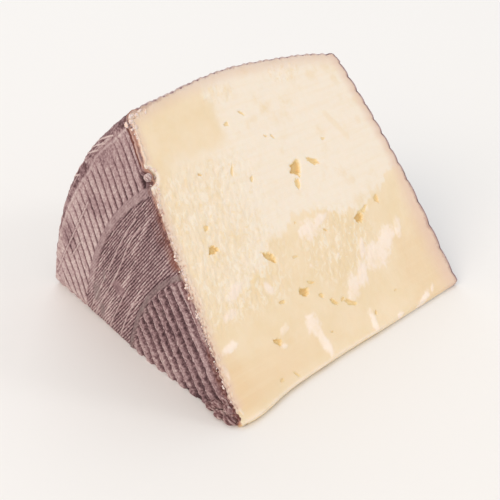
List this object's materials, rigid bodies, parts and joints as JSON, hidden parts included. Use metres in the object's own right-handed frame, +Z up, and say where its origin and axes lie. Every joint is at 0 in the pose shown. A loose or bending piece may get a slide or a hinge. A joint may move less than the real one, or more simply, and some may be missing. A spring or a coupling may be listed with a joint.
{
  "type": "wine-washed goat cheese wedge",
  "caption": "Wedge cut from a small pressed goat cheese wheel, with a wine-dark moulded rind on three sides and two pale cut faces.",
  "frame": {"origin": "on the resting plane, under the middle of the wedge's box", "axes": "+X along the axle of the wheel it was cut from, from the near flat face to the far one; +Y from the thin tip towards the curved side; +Z up"},
  "size_m": [0.1108, 0.1046, 0.0784],
  "materials": {
    "paste": "pale ivory cheese paste, soft satin sheen from butterfat",
    "rind": "matt mauve-brown rind stained by red wine, dusty on the ridges"
  },
  "bodies": {
    "root": {"cheese_wedge": "paste"}
  },
  "joints": []
}
